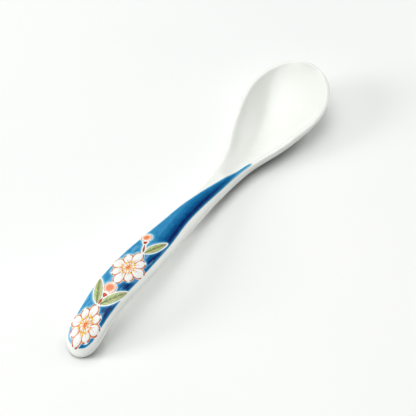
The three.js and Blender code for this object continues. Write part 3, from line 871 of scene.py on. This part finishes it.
def lay_wash_lines(petal, seed, reach):
    """A few fine lines from the petal's root, as a brush leaves them."""
    run = np.linspace(0.1, 1, WASH_POINTS)
    for number in range(WASH_LINES):
        lean = (number - (WASH_LINES - 1) / 2) * WASH_SPREAD + 0.06 * math.sin(seed * 3 + number)
        far = reach * (WASH_REACH + 0.1 * math.sin(seed * 2 + number * 1.9))
        path = petal.at(run * far, lean * run * (1.2 + 0.5 * run))
        lines["rust"].append(ribbon(path, taper(run, *WASH_TAPER), petal.rise, WASH_RELIEF))


def lay_stamens(letter, centre, squeeze, eye):
    """Lines from the eye's middle over the roots of the petals, each with a dot at its end."""
    names = [f"rosette_{letter}_petal_{i + 1}" for i in range(PETAL_COUNT)]
    under = [deposits[name][0] for name in names] + [eye]

    def rise(plan):
        return np.max([lay.rise(plan) for lay in under], axis=0)

    run = np.linspace(0.1, 1, STAMEN_POINTS)
    for i in range(STAMENS):
        seed = i * 1.7 + ord(letter)
        turn = (i + 0.2 * math.sin(seed * 2.7)) * 2 * math.pi / STAMENS
        way = np.array([math.cos(turn), math.sin(turn) * squeeze])
        reach = STAMEN_REACH * (1 + 0.1 * math.sin(seed * 1.9))
        path = centre + way * (run * reach)[:, None]
        lines["orange"].append(ribbon(path, taper(run, *STAMEN_TAPER), rise))
        heart = centre + way * (reach + DOT_GAP)
        radius = DOT_RADIUS + 0.05 * math.sin(seed)
        lines["dots"].append(dot(heart, radius, rise(heart[None])[0]))


def dot(heart, radius, rise):
    """A drop of enamel with a domed top."""
    ring = on_circle(full_turn(DOT_POINTS)) * radius
    plan = np.concatenate([heart + ring * share for share in DOT_RINGS] + [heart[None]])
    lifts = DOT_HEIGHT * np.sqrt(1 - np.square(DOT_RINGS))
    lifts[0] = -SUNK
    height = rise + np.concatenate([np.repeat(lifts, DOT_POINTS), [DOT_HEIGHT]])
    top = len(DOT_RINGS) * DOT_POINTS
    faces = ring_faces(len(DOT_RINGS), DOT_POINTS) + fan(top - DOT_POINTS, DOT_POINTS, top)
    faces.append(list(reversed(range(DOT_POINTS))))
    return on_glaze(plan, height), faces, np.zeros((len(plan), 3))


def lay_leaf(number, start, end):
    run = end - start
    length = float(np.linalg.norm(run))
    width = LEAF_WIDTH_SHARE * paint_half((start[0] + end[0]) / 2)
    shape = stroke_outline(length, width, LEAF_SWELL)
    outline = turned(shape, math.atan2(run[1], run[0])) + start
    leaf = Deposit(wobble(outline, number * 2.0, WOBBLE), MOTIF_RELIEF, start, run)
    deposits[f"leaf_{number}"] = (leaf, LEAF, "enamel_green")
    lay_veins(leaf, number, length, shape)
    lay_leaf_edge(leaf, number)


def lay_veins(leaf, number, length, shape):
    """A midrib, and side veins that lean toward the leaf's tip and end short of its edge."""
    along = np.linspace(0.02, 0.97, STROKE_POINTS)
    midrib = leaf.at(along * length, 0.08 * np.sin(along * 3.0 + number))
    lines["olive"].append(ribbon(midrib, taper(along, *MIDRIB_TAPER), leaf.rise, OLIVE_RELIEF))
    edge = shape[OUTLINE_POINTS // 2 :][::-1]
    run = np.linspace(0, 1, VEIN_POINTS)
    for i in range(VEINS):
        for sign in (-1, 1):
            root = VEIN_FIRST + VEIN_STEP * i + 0.02 * math.sin(i * 2.3 + number)
            span = VEIN_SPAN + 0.04 * math.sin(i * 1.7 + number + sign)
            places = (root + span * run) * length
            outward = np.interp(places, edge[:, 0], edge[:, 1]) * VEIN_REACH * run**VEIN_CURVE
            path = leaf.at(places, outward * sign + 0.04 * math.sin(number + i))
            lines["olive"].append(ribbon(path, taper(run, *VEIN_TAPER), leaf.rise, VEIN_RELIEF))


def lay_leaf_edge(leaf, seed):
    """A line along the leaf's edge, broken near its root."""
    loop = np.concatenate([leaf.outline, leaf.outline[:1]])
    first, last = LEAF_EDGE_SKIP
    path = leaf.middle + (loop[first:-last] - leaf.middle) * LEAF_EDGE_INSET
    run = np.linspace(0, 1, len(path))
    half = LEAF_EDGE_WIDTH + LEAF_EDGE_SWELL * np.sin(run * 9 + seed) ** 2
    lines["olive"].append(ribbon(path, half, leaf.rise, OLIVE_RELIEF))


def lay_berry(number, root, end, share):
    """A berry with its calyx, and a stalk from there to the root."""
    radius = BERRY_SHARE * paint_half(end)
    heart = spot(end - radius, share)
    back = (root - heart) / np.linalg.norm(root - heart)
    turns = full_turn(OUTLINE_POINTS)
    berry = Deposit(heart + on_circle(turns) * radius, MOTIF_RELIEF, heart, -back)
    deposits[f"berry_{number}"] = (berry, BERRY, "enamel_salmon")
    lay_berry_lines(berry, radius)

    size = CALYX_SHARE * radius
    place = heart + back * (radius + PETAL_GAP + size)
    lobes = 0.5 - 0.5 * np.cos(CALYX_LOBES * (turns - math.atan2(back[1], back[0])))
    reach = size * (1 - CALYX_LOBE_DEPTH * lobes)
    calyx = Deposit(place + on_circle(turns) * reach[:, None], MOTIF_RELIEF, place, -back)
    deposits[f"calyx_{number}"] = (calyx, RED, "enamel_red")

    start = place + back * (size + PETAL_GAP)
    run = root - start
    outline = stroke_outline(float(np.linalg.norm(run)), STALK_SHARE * radius, STALK_SWELL)
    outline = turned(outline, math.atan2(run[1], run[0])) + start
    stalk = Deposit(wobble(outline, number, FINE_WOBBLE), MOTIF_RELIEF, start, run)
    deposits[f"stalk_{number}"] = (stalk, RED, "enamel_rust")


def lay_berry_lines(berry, radius):
    """Two lines round a berry, open at its ends, and streaks on it from its calyx."""
    back_turn = math.atan2(-berry.heading[1], -berry.heading[0])
    run = np.linspace(0, 1, STROKE_POINTS)
    for first, last in BERRY_LINES:
        sweep = np.linspace(first, last, STROKE_POINTS) * 2 * math.pi
        path = berry.root + on_circle(sweep + back_turn) * (radius + OUTLINE_GAP)
        half = BERRY_LINE_WIDTH + BERRY_LINE_SWELL * np.sin(run * math.pi) ** 2
        lines["rust"].append(ribbon(path, half, flat))
    run = np.linspace(0, 1, VEIN_POINTS)
    for i in range(STREAKS):
        aside = ((STREAKS - 1) / 2 - i) * radius * STREAK_SPREAD * (0.5 + 0.6 * run)
        path = berry.at(radius * (0.9 * run - 0.8), aside)
        lines["orange"].append(ribbon(path, taper(run, *STREAK_TAPER), berry.rise, STREAK_RELIEF))


def lay_motifs():
    lay_rosette("a", ROSETTE_A_AT, ROSETTE_A_LENGTH)
    lay_leaf(1, spot(LEAVES_AT, LEAF_ROOT_SHARE), spot(LEAVES_END, 1))
    lay_leaf(2, spot(LEAVES_AT, -LEAF_ROOT_SHARE), spot(LEAVES_END, -1))
    lay_berry(1, spot(LEAVES_AT, 0), LEAVES_END, 0)
    lay_rosette("b", ROSETTE_B_AT, ROSETTE_B_LENGTH)
    lay_leaf(3, spot(SPRIG_AT, -LEAF_ROOT_SHARE), spot(SPRIG_END, -LAST_LEAF_REACH))
    lay_berry(2, spot(SPRIG_AT, 0), SPRIG_END, 1 - BERRY_SHARE)
    for name, (deposit, material, slot) in deposits.items():
        points, faces, marks = deposit.mesh()
        make_piece("painted_" + name, points, faces, material, marks, [name])
    drawn = [
        ("rust", RUST, "enamel_rust"),
        ("orange", ORANGE, "enamel_orange"),
        ("olive", OLIVE, "enamel_green"),
        ("dots", DOT, "enamel_orange"),
    ]
    for name, material, slot in drawn:
        points, faces, marks = join_parts(lines[name])
        make_piece("drawn_" + name, points, faces, material, marks)


# The blue between the motifs and over the neck.
right_border = line_through(
    [
        (BAND_START, PAINT_RIGHT),
        ((BAND_START + WAIST_AT) / 2, PAINT_RIGHT),
        (WAIST_AT, BORDER_AT_WAIST),
        (NECK_AT, BORDER_AT_NECK),
        (BAND_END, BORDER_AT_END),
    ]
)


def blue_field():
    """The outline of all the blue: a blunt round start, two edges and a narrow round end."""
    opening = np.linspace(0, math.pi / 2, FIELD_START_POINTS)
    edges = np.linspace(PAINT_START + PAINT_START_ROUND, BAND_END, FIELD_EDGE_POINTS)
    places = np.concatenate([PAINT_START + PAINT_START_ROUND * (1 - np.cos(opening)), edges[1:]])
    opened = quarter_ellipse(1 - (places - PAINT_START) / PAINT_START_ROUND)
    right = right_border(places) - half_width(places)
    taper_share = smoothstep(places, BAND_TAPER_START, BAND_TAPER_END)
    left = lerp(half_width(places) - PAINT_LEFT, right + BAND_END_WIDTH, taper_share)
    close = quarter_ellipse((places - BAND_END + BAND_END_WIDTH) / BAND_END_WIDTH)
    middle = (left + right) / 2
    left, right = [middle + (side - middle) * close for side in (left, right)]
    left, right = left * opened, right * opened
    return np.concatenate([np.stack([places, right], 1), np.stack([places, left], 1)[::-1]])


def blue_depth(plan):
    """How deep plan points lie in the blue, which keeps a halo off each motif and has soft corners."""

    def pull(depth):
        return np.exp(-np.clip(depth, -DEPTH_LIMIT, DEPTH_LIMIT) / BLUE_CORNER_ROUND)

    total = pull(-distance_to(plan, blue_field()))
    for deposit, *_ in deposits.values():
        low = deposit.outline.min(0) - MOTIF_MARGIN
        high = deposit.outline.max(0) + MOTIF_MARGIN
        near = np.all((plan > low) & (plan < high), axis=1)
        total[near] += pull(distance_to(plan[near], deposit.outline) - HALO)
    return -BLUE_CORNER_ROUND * np.log(total)


def trim_grid(grid, depth):
    """The grid's part with positive depth, cut along depth 0: its points, their depths and its faces."""
    plan, value, index, faces = [], [], {}, []

    def point(key, place, deep):
        if key not in index:
            index[key] = len(plan)
            plan.append(place)
            value.append(deep)
        return index[key]

    for i in range(depth.shape[0] - 1):
        for j in range(depth.shape[1] - 1):
            corners = [(i, j), (i + 1, j), (i + 1, j + 1), (i, j + 1)]
            inside = [depth[c] > 0 for c in corners]
            if not any(inside):
                continue
            loop = []
            for k in range(4):
                a, b = corners[k], corners[(k + 1) % 4]
                if inside[k]:
                    loop.append(point(a, grid[a], depth[a]))
                else:
                    a, b = b, a
                if inside[k] != inside[(k + 1) % 4]:
                    share = np.clip(depth[a] / (depth[a] - depth[b]), *CUT_RANGE)
                    loop.append(point((a, b), lerp(grid[a], grid[b], share), 0.0))
            faces.append(loop)
    return np.array(plan), np.array(value), faces


def split_patches(plan, value, faces):
    """Patches whose faces hang together, each with its points, depths, faces and border edges."""
    owner = list(range(len(plan)))

    def root(i):
        while owner[i] != i:
            owner[i] = owner[owner[i]]
            i = owner[i]
        return i

    for face in faces:
        for i in face[1:]:
            owner[root(i)] = root(face[0])
    groups = {}
    for face in faces:
        groups.setdefault(root(face[0]), []).append(face)
    patches = []
    for members in groups.values():
        used = sorted({i for face in members for i in face})
        renumber = {old: new for new, old in enumerate(used)}
        members = [[renumber[i] for i in face] for face in members]
        sides = dict.fromkeys((a, b) for face in members for a, b in zip(face, face[1:] + face[:1]))
        edges = [(a, b) for a, b in sides if (b, a) not in sides]
        patches.append((plan[used], value[used], members, edges))
    return patches


def node_middle(node):
    """The middle of one of the frame's nodes on plan, in the part's millimetres."""
    low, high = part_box(node)
    return np.array([(low + high)[0] / 2 / MM + LENGTH / 2, (low + high)[1] / 2 / MM])


def lay_blue():
    along = np.arange(PAINT_START - 1, BAND_END + 1, BLUE_CELL)
    across = np.arange(-GRID_HALF_WIDTH, GRID_HALF_WIDTH, BLUE_CELL)
    grid = np.stack(np.meshgrid(along, across, indexing="ij"), 2)
    depth = blue_depth(grid.reshape(-1, 2)).reshape(len(along), len(across))
    patches = split_patches(*trim_grid(grid, depth))
    patches.sort(key=lambda patch: -len(patch[2]))
    nodes = ["blue_band"] + [f"blue_ground_{i + 1}" for i in range(BLUE_PATCHES)]
    middles = {node: node_middle(node) for node in nodes}
    for plan, depth, faces, edges in patches[: len(nodes)]:
        middle = (plan.min(0) + plan.max(0)) / 2
        node = min(middles, key=lambda name: np.linalg.norm(middles[name] - middle))
        del middles[node]
        rise = BLUE_RELIEF * quarter_ellipse(1 - depth / BLUE_EDGE_ROUND)
        count = len(plan)
        points = np.concatenate([on_glaze(plan, rise), on_glaze(plan, np.full(count, -SUNK))])
        solid = faces + [[i + count for i in reversed(face)] for face in faces]
        solid += [(b, a, a + count, b + count) for a, b in edges]
        border = plan[:, 1] - right_border(plan[:, 0]) + half_width(plan[:, 0])
        marks = np.tile(np.column_stack([plan[:, 0], border, depth]), (2, 1))
        make_piece("painted_" + node, points, solid, BLUE, marks, [node])


# The table, the light and the camera.


def table_look():
    look = Look("pale_table", IOR=1.4, Specular_IOR_Level=0.15)
    place = look.place()
    cloud = look.noise(place, 6, 3)
    tint = look.ramp(cloud, [(0.3, paint(247, 248, 247)), (0.7, paint(251, 251, 250))])
    # Painted contact shadow: the table's colour is darkened where it sees little open sky close under the
    # spoon.
    open_sky = look.add("AmbientOcclusion", {"Distance": PAINTED_SHADE_REACH * MM}, samples=4).outputs["AO"]
    painted_shade = look.ramp(open_sky, [(at, grey(share)) for at, share in PAINTED_CONTACT_SHADE], "LINEAR")
    tint = look.mix(1.0, tint, painted_shade, "MULTIPLY")
    grain = look.noise(place, 900, 3)
    return look.surface(tint, look.vary(grain, 0.6, 0.75), look.bump(grain, 0.02, 0.0001))


def lay_floor():
    mesh = bpy.data.meshes.new("table_top")
    cells = bmesh.new()
    bmesh.ops.create_grid(cells, x_segments=TABLE_CELLS, y_segments=TABLE_CELLS, size=TABLE_HALF)
    cells.to_mesh(mesh)
    cells.free()
    mesh.materials.append(table_look())
    floor = bpy.data.objects.new("table_top", mesh)
    bpy.context.scene.collection.objects.link(floor)


def direction(turn, tilt):
    """The way to a place at an azimuth and an elevation, both in degrees."""
    turn, tilt = math.radians(turn), math.radians(tilt)
    return Vector((math.cos(tilt) * math.cos(turn), math.cos(tilt) * math.sin(turn), math.sin(tilt)))


class Sky(Look):
    """The light from all round, as a world built node by node."""

    def __init__(self, name):
        self.world = bpy.data.worlds.new(name)
        self.world.use_nodes = True
        self.tree = self.world.node_tree
        self.shader = self.tree.nodes["Background"]
        self.way = self.add("TexCoord").outputs["Generated"]

    def facing(self, toward):
        inputs = {0: self.way, 1: toward}
        return self.add("VectorMath", inputs, operation="DOT_PRODUCT").outputs["Value"]

    def glow(self, toward, tightness, strength):
        share = self.math("MAXIMUM", self.facing(toward), 0.0)
        return self.times(self.math("POWER", share, tightness), strength)


def light_sky():
    sky = Sky("studio")
    top = direction(TOP_TURN, TOP_TILT)
    light = sky.math("ADD", sky.glow(top, *WIDE_GLOW), sky.glow(top, *TIGHT_GLOW))
    edge = sky.spread(sky.facing(LIGHT_EDGE), -EDGE_SOFTNESS, EDGE_SOFTNESS, 1.0, 0.0)
    light = sky.times(light, edge)
    light = sky.math("ADD", light, sky.glow(direction(SIDE_TURN, SIDE_TILT), *SIDE_GLOW))
    light = sky.math("ADD", light, SKY_STRENGTH)
    sky.set(sky.shader, {"Color": (*LIGHT_TINT, 1), "Strength": light})
    bpy.context.scene.world = sky.world
    bpy.context.scene.view_settings.view_transform = "Standard"


def light_window():
    lamp = bpy.data.lights.new("window", "AREA")
    lamp.shape = "RECTANGLE"
    lamp.size, lamp.size_y = WINDOW_SIZE
    lamp.energy = WINDOW_GLOW * math.pi * WINDOW_SIZE[0] * WINDOW_SIZE[1]
    lamp.color = LIGHT_TINT
    toward = direction(WINDOW_TURN, WINDOW_TILT)
    turned_to = toward.to_track_quat("Z", "Y").to_matrix().to_4x4()
    window = bpy.data.objects.new("window", lamp)
    window.matrix_world = Matrix.Translation(toward * WINDOW_DISTANCE) @ turned_to
    window.visible_camera = False
    bpy.context.scene.collection.objects.link(window)


def aim_camera():
    back = direction(CAMERA_TURN, CAMERA_TILT)
    right = Vector((0, 0, 1)).cross(back).normalized()
    lens = bpy.data.cameras.new("photo_camera")
    lens.sensor_fit = "HORIZONTAL"
    lens.sensor_width = SENSOR_WIDTH
    lens.lens = FOCAL_LENGTH / PHOTO_WIDTH * SENSOR_WIDTH
    lens.clip_start, lens.clip_end = CAMERA_CLIP
    camera = bpy.data.objects.new("photo_camera", lens)
    place = (Vector(CAMERA_AIM) + back * CAMERA_DISTANCE) * MM
    turned_to = Matrix((right, back.cross(right), back)).transposed().to_4x4()
    camera.matrix_world = Matrix.Translation(place) @ turned_to
    bpy.context.scene.collection.objects.link(camera)
    bpy.context.scene.camera = camera


build_glaze()
dress_body()
lay_motifs()
lay_blue()
lay_floor()
light_sky()
light_window()
aim_camera()

bpy.context.view_layer.update()
